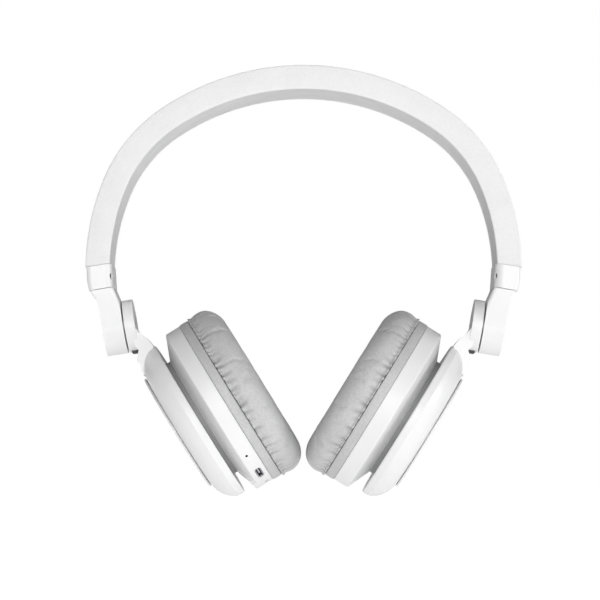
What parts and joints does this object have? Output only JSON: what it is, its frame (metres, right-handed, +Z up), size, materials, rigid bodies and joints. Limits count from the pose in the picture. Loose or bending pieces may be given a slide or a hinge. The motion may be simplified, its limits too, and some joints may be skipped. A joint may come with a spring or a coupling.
{
  "type": "over ear headphones",
  "caption": "White foldable wireless headphones: arched padded headband, sliding arms, folding pivots, tilting round cups with soft grey cushions, rim sockets and controls.",
  "frame": {"origin": "middle of the headband pad's underside, where it rests on the head", "axes": "+X towards the right of the front view, -Y the front, +Z up through the headband"},
  "size_m": [0.1836, 0.0776, 0.1821],
  "materials": {
    "band_leatherette": "white leatherette, fine grain, satin",
    "pad_leatherette": "light grey leatherette, fine grain, matte",
    "cushion_leatherette": "light grey soft leatherette with puckers at its seam",
    "flange_leatherette": "light grey leatherette stretched on a ring",
    "white_plastic": "white ABS, satin gloss",
    "cap_plastic": "white ABS, satin, slightly greyer than the shell",
    "grey_plastic": "dark grey moulded plastic",
    "black_plastic": "black moulded plastic",
    "clear_nylon": "natural nylon, flexible",
    "nylon": "natural acetal",
    "spring_steel": "stainless spring steel, brushed",
    "steel": "nickel-plated steel",
    "black_steel": "blackened steel",
    "cable": "flat ribbon cable, dark",
    "diaphragm_film": "polyester film",
    "grille_cloth": "black knitted acoustic cloth",
    "board_green": "green solder mask",
    "smoked_lens": "smoked light pipe",
    "foil": "pouch cell foil"
  },
  "bodies": {
    "headband": {"headband_cover": "band_leatherette", "headband_pad": "pad_leatherette", "headband_core": "clear_nylon", "headband_spring": "spring_steel", "headband_ribbon": "cable", "left_collar": "white_plastic", "right_collar": "white_plastic", "collar_screws": "black_steel", "left_detent_spring": "spring_steel", "right_detent_spring": "spring_steel"},
    "left_slider": {"left_arm": "white_plastic", "left_rail": "spring_steel", "left_pivot_pin": "white_plastic", "left_pivot_washer": "steel"},
    "left_yoke": {"left_yoke_shell": "white_plastic", "left_shell_cap": "cap_plastic", "left_ball_socket": "black_plastic", "left_socket_screws": "steel", "left_fold_stop": "black_plastic"},
    "left_joint": {"left_ball_liner": "nylon"},
    "left_cup": {"left_cup_housing": "white_plastic", "left_neck_ring": "grey_plastic", "left_ball_stud": "black_plastic", "left_baffle": "black_plastic", "left_baffle_screws": "steel", "left_driver_basket": "black_plastic", "left_driver_magnet": "steel", "left_diaphragm": "diaphragm_film", "left_grille_cloth": "grille_cloth", "left_cushion_flange": "flange_leatherette", "left_cushion": "cushion_leatherette", "circuit_board": "board_green", "usb_socket": "steel", "jack_socket": "black_plastic", "led_lens": "smoked_lens"},
    "right_slider": {"right_arm": "white_plastic", "right_rail": "spring_steel", "right_pivot_pin": "white_plastic", "right_pivot_washer": "steel"},
    "right_yoke": {"right_yoke_shell": "white_plastic", "right_shell_cap": "cap_plastic", "right_ball_socket": "black_plastic", "right_socket_screws": "steel", "right_fold_stop": "black_plastic"},
    "right_joint": {"right_ball_liner": "nylon"},
    "right_cup": {"right_cup_housing": "white_plastic", "right_neck_ring": "grey_plastic", "right_ball_stud": "black_plastic", "right_baffle": "black_plastic", "right_baffle_screws": "steel", "right_driver_basket": "black_plastic", "right_driver_magnet": "steel", "right_diaphragm": "diaphragm_film", "right_grille_cloth": "grille_cloth", "right_cushion_flange": "flange_leatherette", "right_cushion": "cushion_leatherette", "right_battery": "foil"},
    "power_button": {"power_button": "white_plastic"},
    "volume_rocker": {"volume_rocker": "white_plastic"}
  },
  "joints": [
    {"name": "left_slide", "type": "slide", "parent": "headband", "child": "left_slider", "axis": [0, 0, -1], "range_m": [0, 0.024]},
    {"name": "left_fold", "type": "hinge", "parent": "left_slider", "child": "left_yoke", "pos_m": [-0.0759, 0, -0.09994], "axis": [0.9877, 0, 0.1564], "range_deg": [-90, 180]},
    {"name": "left_tilt", "type": "hinge", "parent": "left_yoke", "child": "left_joint", "pos_m": [-0.04652, 0, -0.14059], "axis": [0, 1, 0], "range_deg": [-3, 3]},
    {"name": "left_turn", "type": "hinge", "parent": "left_joint", "child": "left_cup", "pos_m": [-0.04652, 0, -0.14059], "axis": [-0.5252, 0, 0.851], "range_deg": [-3, 3]},
    {"name": "right_slide", "type": "slide", "parent": "headband", "child": "right_slider", "axis": [0, 0, -1], "range_m": [0, 0.024]},
    {"name": "right_fold", "type": "hinge", "parent": "right_slider", "child": "right_yoke", "pos_m": [0.0759, 0, -0.09994], "axis": [0.9877, 0, -0.1564], "range_deg": [-90, 180]},
    {"name": "right_tilt", "type": "hinge", "parent": "right_yoke", "child": "right_joint", "pos_m": [0.04652, 0, -0.14059], "axis": [0, -1, 0], "range_deg": [-3, 3]},
    {"name": "right_turn", "type": "hinge", "parent": "right_joint", "child": "right_cup", "pos_m": [0.04652, 0, -0.14059], "axis": [0.5252, 0, 0.851], "range_deg": [-3, 3]},
    {"name": "power_press", "type": "slide", "parent": "left_cup", "child": "power_button", "axis": [-0.4637, -0.4695, 0.7514], "range_m": [0, 0.0005], "stiffness_N_per_m": 3000},
    {"name": "volume_tilt", "type": "hinge", "parent": "left_cup", "child": "volume_rocker", "pos_m": [-0.02477, 0.02913, -0.15204], "axis": [0.851, 0, 0.5252], "range_deg": [-3, 3], "stiffness_Nm_per_rad": 0.14}
  ]
}
